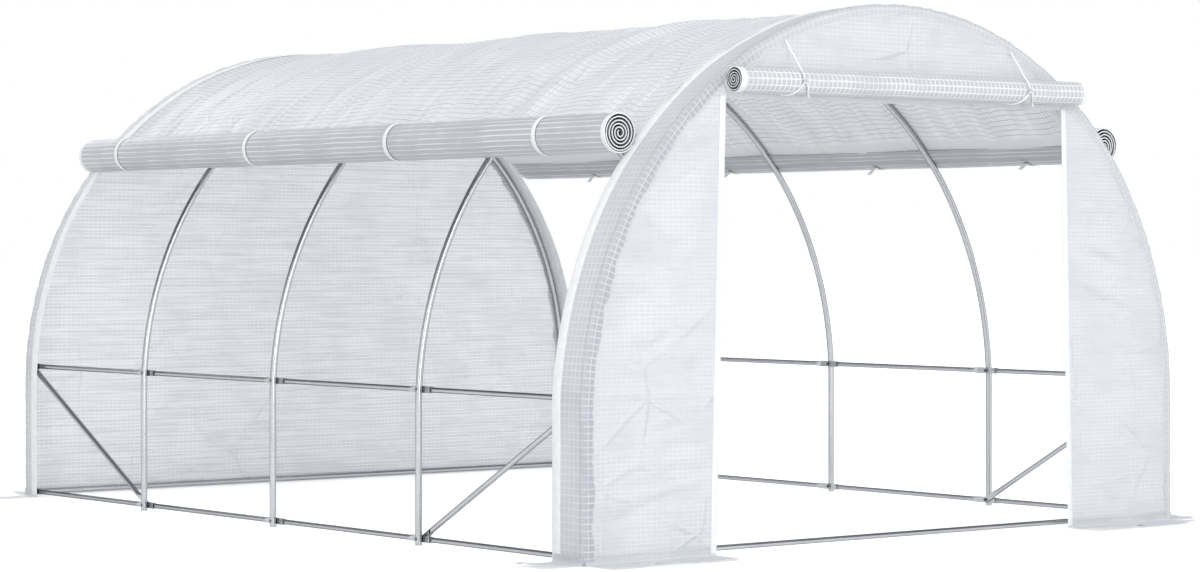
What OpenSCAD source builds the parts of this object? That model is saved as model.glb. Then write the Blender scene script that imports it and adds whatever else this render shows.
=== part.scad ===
// Walk-in polytunnel greenhouse: five bolted steel hoops under a woven white cover,
// with both side curtains and the front door rolled up.
// X runs across the tunnel, the door faces -Y, Z is up and the ground is Z = 0.

/* [Overall size] */
// Length over the end cloths
tunnel_l = 4000; // [3600:10:4400]
// Width over the cover
tunnel_w = 3000; // [2800:10:3200]
// Height over the cover at the ridge
tunnel_h = 2000; // [1900:10:2100]

/* [Hoops] */
// Outside diameter of the hoop tubes
hoop_d = 25; // [23:0.5:28]
// Wall of every tube
tube_wall = 1.2; // [0.9:0.1:1.5]
// Height of the waist rails above the spring of the arch
waist_rise = 74; // [50:2:120]
// Length of leg above the waist rail, up to the joint
leg_over = 20; // [16:1:40]
// Angle of the eave joints above the horizontal
eave_angle = 41.3; // [35:0.1:50]
// Reach of a joint spigot into each tube
plug_l = 60; // [40:1:80]

/* [Rails and braces] */
// Outside diameter of the rails
rail_d = 19; // [17:0.5:21]
// Outside diameter of the corner braces
brace_d = 20; // [18:0.5:22]
// Height of the base rails and sills above the ground
base_z = 22; // [15:1:34]
// Thickness of a tube end pressed flat
tongue_t = 2.4; // [2:0.1:2.8]
// Width of a tube end pressed flat
tongue_w = 25; // [23:0.5:27]
// Length from the bolt to the end of the flat
tongue_flat = 50; // [44:1:56]
// Length over which the flat swells to the round tube
tongue_taper = 26; // [18:1:40]
// Diameter of the bolt holes
bolt_d = 6.4; // [5.4:0.2:8.4]

/* [Cover] */
// Thickness of the woven cloth
cloth_t = 2.5; // [2:0.1:3]
// Width of the front end band, measured along the tunnel
front_band_w = 180; // [150:5:200]
// Width of the back end band, measured along the tunnel
back_band_w = 108; // [90:2:200]
// Width of the band's return on the end face
return_w = 60; // [45:5:80]
// Depth of the flaps that lie on the ground
flap_w = 180; // [100:10:260]

/* [Doorway] */
// Width of the doorway at the ground
door_foot_w = 1814; // [1700:2:1900]
// Width of the doorway at its head
door_head_w = 1724; // [1640:2:1780]
// Height of the cloth over the doorway, up to the ridge
lunette_h = 360; // [340:5:420]

/* [Rolled cloth] */
// Diameter of the rolled side curtains
side_roll_d = 140; // [120:2:150]
// Turns of cloth in a side curtain
side_roll_turns = 5.6; // [4.6:0.1:6]
// Angle of the side rolls above the horizontal
side_roll_angle = 39.6; // [37:0.1:41]
// Distance of the left side roll from the front face
left_roll_front = 165; // [80:5:175]
// Distance of the right side roll from the front face
right_roll_front = 100; // [80:5:175]
// Distance of the side rolls from the back face
side_roll_back = 105; // [40:5:175]
// Diameter of the rolled door
door_roll_d = 90; // [80:1:96]
// Turns of cloth in the rolled door
door_roll_turns = 6; // [5:0.1:6.6]
// Height of the rolled door's middle above the doorway
door_roll_over = 54; // [46:1:80]
// Reach of the rolled door to the left of the middle
door_roll_left = 864; // [820:2:900]
// Reach of the rolled door to the right of the middle
door_roll_right = 904; // [860:2:960]

/* [Straps and ties] */
// Width of the webbing straps
strap_w = 24; // [12:1:30]
// Thickness of the webbing straps
strap_t = 1.6; // [1.2:0.1:2]
// Length of the loose strap ends under the right roll
strap_tail = 46; // [20:2:70]
// Diameter of the door tie cords
tie_d = 5; // [4:0.5:6]
// Height of the ridge above the door tie anchors
tie_anchor_h = 152; // [130:2:170]
// Lean of a door tie from its anchor to the roll
tie_lean = 8; // [0:1:40]

/* [Hidden] */

// Colours of the zinc, the woven cloth and the sewn tapes
zinc = "#b9bdc1";
woven = "#eef1f4";
tape = "#f8f9fa";

// Play between pieces that touch
play = 0.1;
// Seat of the cloth on the hoops
seat = 0.3;
// Thin slice that starts a blend
slice = 1;
// Sides of the small tubes and of the large arches
tube_fn = 48;
blend_fn = 32;
arc_fn = 240;

// Hoops are numbered from the front, bays likewise
hoops = 5;
hoop_r = hoop_d / 2;
cover_r = tunnel_w / 2;
arch_r = cover_r - cloth_t - seat - hoop_r;
spring_z = tunnel_h - cover_r;
end_y = tunnel_l / 2 - 2 * (cloth_t + play) - hoop_r;
bay_l = 2 * end_y / (hoops - 1);

// Joints along a hoop, as angles above the horizontal at its centre
waist_angle = asin(waist_rise / arch_r);
leg_angle = asin((waist_rise + leg_over) / arch_r);
plug_angle = asin(plug_l / arch_r);
joint_gap = asin(play / arch_r);
hoop_in = hoop_d - 2 * tube_wall;
plug_d = hoop_in - 2 * play;
plug_in = plug_d - 2 * tube_wall;

// Rails lie on the inner side of the hoops, lapped on one bolt
waist_z = spring_z + waist_rise;
rail_r = arch_r - hoop_r - tongue_t - 1.5 * play;
brace_rise = waist_z - base_z;
brace_l = norm([bay_l, brace_rise]);
brace_turn = atan2(brace_rise, -bay_l);
brace_slope = 180 - brace_turn;
// Flat that reaches past the place where a brace and a rail part
flat_l = max(tongue_flat, tongue_w / 2 * (1 + 1 / cos(brace_slope)) / tan(brace_slope));
rail_body = flat_l + tongue_taper;
sill_in = flat_l - rail_d / 2 - 3 * slice;
sill_y = end_y - sill_in;
sill_half = rail_r - play / 2;

// End cloths, from the hoop outwards
panel_r = cover_r - cloth_t - play;
panel_y = end_y + hoop_r + play;
face_y = tunnel_l / 2;
return_r = cover_r - return_w;

// Side roll, on the outside of the cover and the bands
side_r = side_roll_d / 2;
side_reach = cover_r + play + side_r;
side_c = side_reach * [cos(side_roll_angle), sin(side_roll_angle)];
core_share = 0.2;
roll_t = 2;
// Turn of cloth at full radius round the outside of a roll
full_turn = 215;
// Rolled cloth ends where it leaves the cover or the cloth over the doorway
side_end_angle = side_roll_angle + 180;
door_end_angle = 0;

// The cover follows the arch down to the place where it meets the rolls
cover_mid = cover_r - cloth_t / 2;
cover_turn = 180 - 2 * side_roll_angle;
cover_steps = 52;

// Straps start where the roll parts from the cover and pass over its top
strap_r = side_r + play + strap_t / 2;
strap_out = strap_r + strap_t / 2 + play;
strap_part = (pow(cover_r, 2) - pow(side_reach, 2) - pow(strap_out, 2)) / (2 * side_reach * strap_out);
strap_top_angle = side_roll_angle + acos(strap_part);
strap_low_angle = -122;
strap_steps = 30;
strap_left_shares = [0.52, 1.52, 2.54, 3.59];
strap_right_shares = [0.48, 1.38, 2.34, 3.34];

// Door roll and ties, in front of the band's return
door_head_z = tunnel_h - lunette_h;
door_roll_z = door_head_z + door_roll_over;
tie_anchor_z = tunnel_h - tie_anchor_h;
door_r = door_roll_d / 2;
door_y = -face_y - play - door_r;
tie_hold = door_r + play + tie_d / 2;
tie_face = -face_y - play - tie_d / 2;
tie_sides = 8;
tie_left_x = -565;
tie_right_x = 589;

// Position of a hoop along the tunnel
function hoop_y(k) = end_y * (2 * (k - 1) / (hoops - 1) - 1);

// Outward face of a tongue that is the n-th on its bolt
function lap_x(n) = play / 2 - n * (tongue_t + play);

// Point at a radius and an angle
function polar(r, a) = r * [cos(a), sin(a)];

// List in the opposite order
function flip(v) = [for (i = [len(v) - 1:-1:0]) v[i]];

// Outline of a strip of constant thickness along points that carry their normal angle
function strip(path, t) = concat(
    [for (p = path) p[0] + polar(t / 2, p[1])],
    flip([for (p = path) p[0] - polar(t / 2, p[1])])
);

// Radius of rolled cloth at an angle short of its outer end
function roll_radius(d, turns, back) = d / 2 - max(0, back - full_turn)
    * (d / 2 - core_share * d / 2) / (360 * turns - full_turn);

// Tube along the middle of a hoop between two angles
module arc_tube(d_out, d_in, from, to) {
    translate([0, 0, spring_z])
        rotate([90, 0, 0])
            rotate([0, 0, from])
                rotate_extrude(angle = to - from, $fn = arc_fn)
                    translate([arch_r, 0])
                        difference() {
                            circle(d = d_out, $fn = tube_fn);
                            circle(d = d_in, $fn = tube_fn);
                        }
}

// Copies a right-hand piece to the left side
module both_sides() {
    children();
    mirror([1, 0, 0])
        children();
}

// Straight legs that follow the start of the arch up to the waist joint
module hoop_legs(k) {
    color(zinc)
        both_sides()
            translate([0, hoop_y(k), 0]) {
                translate([arch_r, 0, 0])
                    linear_extrude(spring_z)
                        difference() {
                            circle(d = hoop_d, $fn = tube_fn);
                            circle(d = hoop_in, $fn = tube_fn);
                        }
                arc_tube(hoop_d, hoop_in, 0, leg_angle - joint_gap);
            }
}

// Curved sides between the legs and the eave joints
module hoop_haunches(k) {
    color(zinc)
        both_sides()
            translate([0, hoop_y(k), 0])
                arc_tube(hoop_d, hoop_in, leg_angle, eave_angle - joint_gap);
}

// Top arc between the eave joints
module hoop_crown(k) {
    color(zinc)
        translate([0, hoop_y(k), 0])
            arc_tube(hoop_d, hoop_in, eave_angle, 180 - eave_angle);
}

// Short tubes inside every leg and eave joint of the hoops
module hoop_spigots() {
    color(zinc)
        for (k = [1:hoops])
            translate([0, hoop_y(k), 0])
                both_sides()
                    for (joint = [leg_angle, eave_angle])
                        arc_tube(plug_d, plug_in, joint - plug_angle, joint + plug_angle);
}

// Flat tube end with a bolt hole at the origin, swelling to the round tube along +Y
module tongue(d, lap) {
    translate([lap_x(lap), 0, 0])
        rotate([90, 0, 90])
            linear_extrude(tongue_t)
                difference() {
                    union() {
                        circle(d = tongue_w, $fn = tube_fn);
                        translate([0, -tongue_w / 2])
                            square([flat_l, tongue_w]);
                    }
                    circle(d = bolt_d, $fn = tube_fn);
                }
    hull() {
        translate([lap_x(lap), flat_l - slice, -tongue_w / 2])
            cube([tongue_t, slice, tongue_w]);
        translate([0, rail_body, 0])
            rotate([-90, 0, 0])
                cylinder(d = d, h = slice, $fn = blend_fn);
    }
}

// Tube along +Y between two bolts, flat at both ends
module rail(l, d, lap_from, lap_to) {
    tongue(d, lap_from);
    translate([0, l, 0])
        mirror([0, 1, 0])
            tongue(d, lap_to);
    translate([0, rail_body, 0])
        rotate([-90, 0, 0])
            linear_extrude(l - 2 * rail_body)
                difference() {
                    circle(d = d, $fn = tube_fn);
                    circle(d = d - 2 * tube_wall, $fn = tube_fn);
                }
}

// Rail of one bay on the inner side of the hoops, lapping over the rail in front of it
module bay_rail(k) {
    translate([rail_r, hoop_y(k), 0])
        rail(bay_l, rail_d, min(k - 1, 1), 0);
}

// Low rails along both sides
module base_rails(k) {
    color(zinc)
        both_sides()
            translate([0, 0, base_z])
                bay_rail(k);
}

// Rails along both sides at the leg joints
module waist_rails(k) {
    color(zinc)
        both_sides()
            translate([0, 0, spring_z])
                rotate([0, -waist_angle, 0])
                    bay_rail(k);
}

// Rail under the crowns
module ridge_rail(k) {
    color(zinc)
        translate([0, 0, spring_z])
            rotate([0, -90, 0])
                bay_rail(k);
}

// Half of a tube across the tunnel, with its flat end turned along the base rail
module sill_half() {
    rotate([90, 0, 90])
        linear_extrude(sill_half - tongue_taper - tongue_t)
            difference() {
                circle(d = rail_d, $fn = tube_fn);
                circle(d = rail_d - 2 * tube_wall, $fn = tube_fn);
            }
    hull() {
        translate([sill_half - tongue_taper - tongue_t - slice, 0, 0])
            rotate([0, 90, 0])
                cylinder(d = rail_d, h = slice, $fn = blend_fn);
        translate([sill_half - tongue_t, -tongue_t / 2, -tongue_w / 2])
            cube([slice, tongue_t, tongue_w]);
    }
    translate([sill_half - tongue_t, 0, 0])
        rotate([90, 0, 90])
            linear_extrude(tongue_t)
                difference() {
                    union() {
                        translate([-sill_in, 0])
                            circle(d = tongue_w, $fn = tube_fn);
                        translate([-sill_in, -tongue_w / 2])
                            square([sill_in + tongue_t / 2, tongue_w]);
                    }
                    translate([-sill_in, 0])
                        circle(d = bolt_d, $fn = tube_fn);
                }
}

// Threshold tube between the feet of an end hoop
module sill() {
    color(zinc)
        translate([0, -sill_y, base_z])
            both_sides()
                sill_half();
}

// Slanting tubes from the waist of an end hoop to the foot of the next hoop
module braces() {
    color(zinc)
        both_sides()
            translate([rail_r, hoop_y(2), base_z])
                rotate([brace_turn, 0, 0])
                    rail(brace_l, brace_d, 2, 2);
}

// Outline of the tunnel from the ground up, at a given radius of its arch
module arch_2d(r) {
    translate([0, spring_z])
        intersection() {
            circle(r = r, $fn = arc_fn);
            translate([-r, 0])
                square([2 * r, r]);
        }
    translate([-r, 0])
        square([2 * r, spring_z]);
}

// Drawing in the end plane, given depth towards the door
module across(y, depth) {
    translate([0, y, 0])
        rotate([90, 0, 0])
            linear_extrude(depth)
                children();
}

// Sheet over the hoops between the end bands, down to both rolls
module roof_cover() {
    path = [
        for (i = [0:cover_steps])
            let (a = side_roll_angle + cover_turn * i / cover_steps)
                [polar(cover_mid, a), a]
    ];
    color(woven)
        translate([0, 0, spring_z])
            across(face_y - back_band_w - play, tunnel_l - front_band_w - back_band_w - 2 * play)
                polygon(strip(path, cloth_t));
}

// Strip over an end hoop from ground to ground, with its return on the end face
module end_band(w) {
    color(woven) {
        across(-face_y + w, w)
            difference() {
                arch_2d(cover_r);
                arch_2d(cover_r - cloth_t);
            }
        across(-face_y + cloth_t, cloth_t)
            difference() {
                arch_2d(cover_r);
                arch_2d(return_r);
            }
    }
}

// Cloth beside the doorway, right-hand
module door_side() {
    color(woven)
        across(-panel_y, cloth_t)
            intersection() {
                arch_2d(panel_r);
                polygon([
                    [door_foot_w / 2, 0],
                    [tunnel_w, 0],
                    [tunnel_w, door_head_z - play],
                    [door_head_w / 2, door_head_z - play]
                ]);
            }
}

// Cloth above the doorway
module front_lunette() {
    color(woven)
        across(-panel_y, cloth_t)
            intersection() {
                arch_2d(panel_r);
                translate([-tunnel_w, door_head_z])
                    square([2 * tunnel_w, tunnel_h]);
            }
}

// Closed cloth over the back hoop
module back_panel() {
    color(woven)
        across(panel_y + cloth_t, cloth_t)
            arch_2d(panel_r);
}

// Strips of cloth that lie on the ground outside the panels and bands
module ground_flaps() {
    color(woven) {
        both_sides() {
            translate([door_foot_w / 2, -face_y - flap_w, 0])
                cube([cover_r - door_foot_w / 2, flap_w - play, cloth_t]);
            translate([cover_r + play, -face_y, 0])
                cube([flap_w, front_band_w, cloth_t]);
            translate([cover_r + play, face_y - back_band_w, 0])
                cube([flap_w, back_band_w, cloth_t]);
        }
        translate([-cover_r, face_y + play, 0])
            cube([2 * cover_r, flap_w, cloth_t]);
    }
}

// Cross-section of rolled cloth, a spiral that keeps its full radius round the outside, wound either way
module roll_2d(d, turns, end, way) {
    steps = round(turns * 24);
    path = [
        for (i = [0:steps])
            let (back = 360 * turns * (1 - i / steps))
                [polar(roll_radius(d, turns, back) - roll_t / 2, end + way * back), end + way * back]
    ];
    polygon(strip(path, roll_t));
}

// Side curtain rolled up at the eave, right-hand
module side_roll(front) {
    color(woven)
        translate([side_c[0], 0, spring_z + side_c[1]])
            across(face_y - side_roll_back, tunnel_l - side_roll_back - front)
                roll_2d(side_roll_d, side_roll_turns, side_end_angle, 1);
}

// Door rolled up in front of the lunette
module door_roll() {
    color(woven)
        translate([-door_roll_left, door_y, door_roll_z])
            rotate([90, 0, 90])
                linear_extrude(door_roll_left + door_roll_right)
                    roll_2d(door_roll_d, door_roll_turns, door_end_angle, -1);
}

// Webbing strap over the right-hand roll, with or without a loose end under it
module strap(tail_l) {
    path = [
        for (i = [0:strap_steps])
            let (a = strap_top_angle + (strap_low_angle - strap_top_angle) * i / strap_steps)
                [side_c + polar(strap_r, a), a]
    ];
    foot = side_c + polar(strap_r, strap_low_angle);
    translate([0, strap_w / 2, spring_z])
        rotate([90, 0, 0])
            linear_extrude(strap_w) {
                polygon(strip(path, strap_t));
                if (tail_l > 0)
                    translate([foot[0] - strap_t / 2, foot[1] - tail_l])
                        square([strap_t, tail_l]);
            }
}

// Straps about the middle of each bay, at shares of the bays from the front hoop
module roll_straps() {
    color(tape) {
        for (b = strap_right_shares)
            translate([0, -end_y + b * bay_l, 0])
                strap(strap_tail);
        mirror([1, 0, 0])
            for (b = strap_left_shares)
                translate([0, -end_y + b * bay_l, 0])
                    strap(0);
    }
}

// Round cord along points, with its sides set square to the tunnel
module cord(points, d) {
    n = len(points);
    ring = [
        for (i = [0:n - 1])
            let (
                ahead = points[min(i + 1, n - 1)] - points[max(i - 1, 0)],
                t = ahead / norm(ahead),
                s = cross(t, [1, 0, 0]),
                u = s / norm(s),
                v = cross(t, u)
            )
                for (j = [0:tie_sides - 1])
                    points[i] + d / 2 * (u * cos(360 * j / tie_sides) + v * sin(360 * j / tie_sides))
    ];
    walls = [
        for (i = [0:n - 2])
            for (j = [0:tie_sides - 1])
                let (
                    k = (j + 1) % tie_sides,
                    a = i * tie_sides,
                    b = a + tie_sides
                )
                    each [[a + j, a + k, b + k], [a + j, b + k, b + j]]
    ];
    first = [for (j = [tie_sides - 1:-1:0]) j];
    last = [for (j = [0:tie_sides - 1]) (n - 1) * tie_sides + j];
    polyhedron(ring, concat([first], walls, [last]));
}

// Tie from its anchor on the lunette down over the front of the rolled door
module door_tie(x, lean) {
    anchor = [[x - lean, tie_face, tie_anchor_z], [x - lean / 2, tie_face, (tie_anchor_z + door_roll_z) / 2]];
    hold = [for (a = [75:15:285]) [x, door_y + tie_hold * cos(a), door_roll_z + tie_hold * sin(a)]];
    color(tape)
        cord(concat(anchor, hold), tie_d);
}

hoop_legs(1);  // hoop_1_legs
hoop_legs(2);  // hoop_2_legs
hoop_legs(3);  // hoop_3_legs
hoop_legs(4);  // hoop_4_legs
hoop_legs(5);  // hoop_5_legs
hoop_haunches(1);  // hoop_1_haunches
hoop_haunches(2);  // hoop_2_haunches
hoop_haunches(3);  // hoop_3_haunches
hoop_haunches(4);  // hoop_4_haunches
hoop_haunches(5);  // hoop_5_haunches
hoop_crown(1);  // hoop_1_crown
hoop_crown(2);  // hoop_2_crown
hoop_crown(3);  // hoop_3_crown
hoop_crown(4);  // hoop_4_crown
hoop_crown(5);  // hoop_5_crown
hoop_spigots();
base_rails(1);  // bay_1_base_rails
base_rails(2);  // bay_2_base_rails
base_rails(3);  // bay_3_base_rails
base_rails(4);  // bay_4_base_rails
waist_rails(1);  // bay_1_waist_rails
waist_rails(2);  // bay_2_waist_rails
waist_rails(3);  // bay_3_waist_rails
waist_rails(4);  // bay_4_waist_rails
ridge_rail(1);  // bay_1_ridge_rail
ridge_rail(2);  // bay_2_ridge_rail
ridge_rail(3);  // bay_3_ridge_rail
ridge_rail(4);  // bay_4_ridge_rail
sill();  // front_sill
mirror([0, 1, 0]) sill();  // back_sill
braces();  // front_braces
mirror([0, 1, 0]) braces();  // back_braces
roof_cover();
end_band(front_band_w);  // front_band
mirror([0, 1, 0]) end_band(back_band_w);  // back_band
mirror([1, 0, 0]) door_side();  // front_panel_left
door_side();  // front_panel_right
front_lunette();
back_panel();
ground_flaps();
mirror([1, 0, 0]) side_roll(left_roll_front);  // side_roll_left
side_roll(right_roll_front);  // side_roll_right
door_roll();
roll_straps();
door_tie(tie_left_x, tie_lean);  // door_tie_left
door_tie(tie_right_x, tie_lean);  // door_tie_right
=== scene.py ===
import math

import bmesh
import bpy
import numpy as np
from mathutils import Matrix, Vector


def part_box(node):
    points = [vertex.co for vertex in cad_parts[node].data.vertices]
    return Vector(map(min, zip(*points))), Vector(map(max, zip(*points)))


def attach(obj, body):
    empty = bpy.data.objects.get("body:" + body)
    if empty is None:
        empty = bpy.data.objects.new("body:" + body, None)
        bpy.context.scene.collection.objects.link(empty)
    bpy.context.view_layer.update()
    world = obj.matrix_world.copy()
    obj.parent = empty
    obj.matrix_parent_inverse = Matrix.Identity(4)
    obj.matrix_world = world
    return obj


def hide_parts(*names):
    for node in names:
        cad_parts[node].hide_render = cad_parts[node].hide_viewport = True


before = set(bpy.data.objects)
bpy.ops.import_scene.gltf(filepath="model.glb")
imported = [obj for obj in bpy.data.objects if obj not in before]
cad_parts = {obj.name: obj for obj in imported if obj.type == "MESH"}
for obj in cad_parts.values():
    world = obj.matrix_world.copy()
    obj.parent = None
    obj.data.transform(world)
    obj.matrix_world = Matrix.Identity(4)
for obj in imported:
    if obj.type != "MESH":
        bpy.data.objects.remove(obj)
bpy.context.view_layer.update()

scene = bpy.context.scene
rad = math.radians
SIDES = {"left": -1, "right": 1}


def middle_z(node):
    """Height of the middle of a node."""
    low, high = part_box(node)
    return (low.z + high.z) / 2


# Sizes that the frame gives, in metres
band_low, band_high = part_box("front_band")
COVER_R = band_high.x
SPRING_Z = band_high.z - COVER_R
FACE_Y = -band_low.y
FRONT_BAND_W = band_high.y - band_low.y
BACK_BAND_W = FACE_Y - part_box("back_band")[0].y
HOOP_BOXES = [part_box(f"hoop_{k}_legs") for k in range(1, 6)]
HOOP_Y = [(low.y + high.y) / 2 for low, high in HOOP_BOXES]
HOOP_R = (HOOP_BOXES[0][1].y - HOOP_BOXES[0][0].y) / 2
ARCH_R = HOOP_BOXES[0][1].x - HOOP_R
BAY_L = HOOP_Y[1] - HOOP_Y[0]
BASE_RAIL_Z = middle_z("bay_1_base_rails")
WAIST_RAIL_Z = middle_z("bay_1_waist_rails")
RIDGE_RAIL_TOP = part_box("bay_1_ridge_rail")[1].z
DOOR_HEAD_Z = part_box("front_panel_left")[1].z
DOOR_HEAD_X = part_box("front_panel_right")[0].x
DOOR_ROLL_LOW, DOOR_ROLL_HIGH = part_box("door_roll")
DOOR_ROLL_Z = middle_z("door_roll")
FLAP_REACH_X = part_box("ground_flaps")[1].x

# Lengths along the cover from the left foot over the ridge
ARCH_L = math.pi * COVER_R
OUTLINE_L = 2 * SPRING_Z + ARCH_L
RIDGE_S = OUTLINE_L / 2

# Cloth: spacing of its points, how far it lies under the outline, sags and rises in folds
STEP = 0.012
SKIN = 0.0012
SAG = 0.017
FOLD_RISE = 0.003

# Roof: how far it runs under the bands and past the seams (in degrees), its hems and its room over the rail
ROOF_LAP = 0.014
ROOF_SEAM_TURN = 0.2
ROOF_HEM = 0.06
RAIL_ROOM = 0.003
RAIL_HALF_W = 0.014

# Bands, with the return on the end face, the puckers of the corner and the binding tape
BAND_FOOT = 0.002
RETURN_W = 0.044
RETURN_STEP = 0.008
RETURN_FADE = 0.01
CORNER_R = 0.012
PUCKER = 0.0035
PUCKER_REACH = 0.024
BINDING_W = 0.046
BINDING_T = 0.0034
BINDING_LAP = 0.002

# End cloths and the tapes of the doorway
PANEL_IN = 0.003
PANEL_Y = FACE_Y - PANEL_IN
PANEL_R = COVER_R - CORNER_R
PANEL_FOOT_Z = 0.003
PANEL_TOP_GAP = 0.03
PANEL_TOP_Z = SPRING_Z + COVER_R - PANEL_TOP_GAP
PANEL_RISE = 0.014
LUNETTE_LAP = 0.01
DOOR_FOOT_X = 0.907
ZIP_W = 0.026
ZIP_T = 0.003
ZIP_LAP = 0.004
ZIP_OUT = 0.0008

# Flaps on the ground
FLAP_Z = 0.0026
FLAP_BEND_R = 0.012
FLAP_GAP = 0.004
FLAP_LIFT = 0.016

# Rolled cloth: the outer turn with the full radius, in degrees, and how far light reaches into a roll
# before its painted shade starts
OUTER_TURN = 215
ROLL_STEPS = 260
ROLL_STEP = 0.06
ROLL_MOUTH = 0.05
SIDE_ROLL_R = 0.0715
SIDE_ROLL_CORE = 0.011
SIDE_ROLL_TURNS = 5.6
SIDE_ROLL_T = 0.006
SIDE_ROLL_ANGLE = 39.6
SIDE_HEM = 0.020
CURTAIN_START = 0.2
CURTAIN_TURN = 2.5
CURTAIN_UNDER = 0.006
ROOF_LOW_S = SPRING_Z + COVER_R * rad(SIDE_ROLL_ANGLE + CURTAIN_TURN - ROOF_SEAM_TURN)
DOOR_ROLL_R = 0.046
DOOR_ROLL_CORE = 0.005
DOOR_ROLL_TURNS = 4.9
DOOR_ROLL_T = 0.004
DOOR_ROLL_Y = -FACE_Y - DOOR_ROLL_R
DOOR_HEMS = (0.026, 0.016)

# Straps along the two sides, from the angle at the seam round to the loose end, and door ties
STRAP_Y = {"left": (-1.42, -0.476, 0.535, 1.576), "right": (-1.507, -0.615, 0.337, 1.328)}
STRAP_W = 0.024
STRAP_T = 0.0022
STRAP_GAP = 0.0004
STRAP_START = 196
STRAP_END = -122
STRAP_TAILS = (0.026, 0.032)
STRAP_TAIL_IN = 0.004
STRAP_CURL = 0.014
STRAP_SLIP = 0.016
STRAP_SLIP_DROP = 0.03
STRAP_PULL = 0.0032
TIE_R = 0.0034
TIE_HALF_W = 0.008
TIE_PULL = 0.0022
TIE_GAP = 0.0005
TIE_SLANT = 0.012
TIE_DRIFT = 0.045
TIE_END = 300
TAIL_START = 182
TAIL_END = 246

# Flattened end of a rail, its bolts, and the angle of the ridge on the arch
TONGUE_T = 0.0025
HEAD_R = 0.0066
WASHER_R = 0.0085
WASHER_T = 0.0014
NUT_R = 0.0060
NUT_H = 0.0052
BOLT_R = 0.0029
RIDGE_ANGLE = 90

# Camera, lamps and stage
CAMERA_PLACE = (-8.2963, -10.6495, 1.0967)
CAMERA_YAW = 38.4373
CAMERA_PITCH = -0.6905
LENS = 96.128
SENSOR_W = 36
VIEW_REACH = 500
LAMPS = {
    "key": dict(place=(-3.4, -11.4, 3.5), target=(0, -0.5, 1.2), wide=3.0, high=6.4, power=330),
    "fill": dict(place=(4.0, -11.0, 3.6), target=(0, -0.5, 1.2), wide=3.0, high=6.0, power=120),
    "left_box": dict(place=(-10.0, -5.0, 3.6), target=(0, 0, 1.2), wide=1.4, high=6.0, power=120),
    "back_box": dict(place=(0.0, 10.0, 4.0), target=(0, 0, 1.0), wide=5.0, high=5.0, power=270),
}
WHITE = (1, 1, 1, 1)
BLACK = (0.0, 0.0, 0.0, 1)
SKY_LOW = (0.54, 0.55, 0.57, 1)
SKY_HIGH = (1.08, 1.09, 1.10, 1)
CEILING = (0.22, 0.23, 0.25, 1)
FLOOR_GREY = (0.78, 0.78, 0.78, 1)
FLOOR_GLOW = 0.5
FLOOR_Z = -0.002
FLOOR_REACH = 180


def add_object(name, data):
    """New object in the scene."""
    made = bpy.data.objects.new(name, data)
    scene.collection.objects.link(made)
    return made


def place_camera():
    """Camera at the photograph's viewing angle."""
    yaw, pitch = rad(CAMERA_YAW), rad(CAMERA_PITCH)
    level = math.cos(pitch)
    ahead = Vector((math.sin(yaw) * level, math.cos(yaw) * level, math.sin(pitch)))
    right = Vector((math.cos(yaw), -math.sin(yaw), 0))
    up = right.cross(ahead)
    data = bpy.data.cameras.new("camera")
    data.sensor_fit = "HORIZONTAL"
    data.sensor_width = SENSOR_W
    data.lens = LENS
    data.clip_end = VIEW_REACH
    camera = add_object("camera", data)
    turned = Matrix((right, up, -ahead)).transposed()
    camera.matrix_world = Matrix.Translation(CAMERA_PLACE) @ turned.to_4x4()
    scene.camera = camera


def add_lamp(name, place, target, wide, high, power):
    """Soft lamp aimed at a point."""
    data = bpy.data.lights.new(name, "AREA")
    data.shape = "RECTANGLE"
    data.size = wide
    data.size_y = high
    data.energy = power
    lamp = add_object(name, data)
    lamp.location = place
    lamp.rotation_mode = "QUATERNION"
    lamp.rotation_quaternion = (Vector(target) - Vector(place)).to_track_quat("-Z", "Y")


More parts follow.
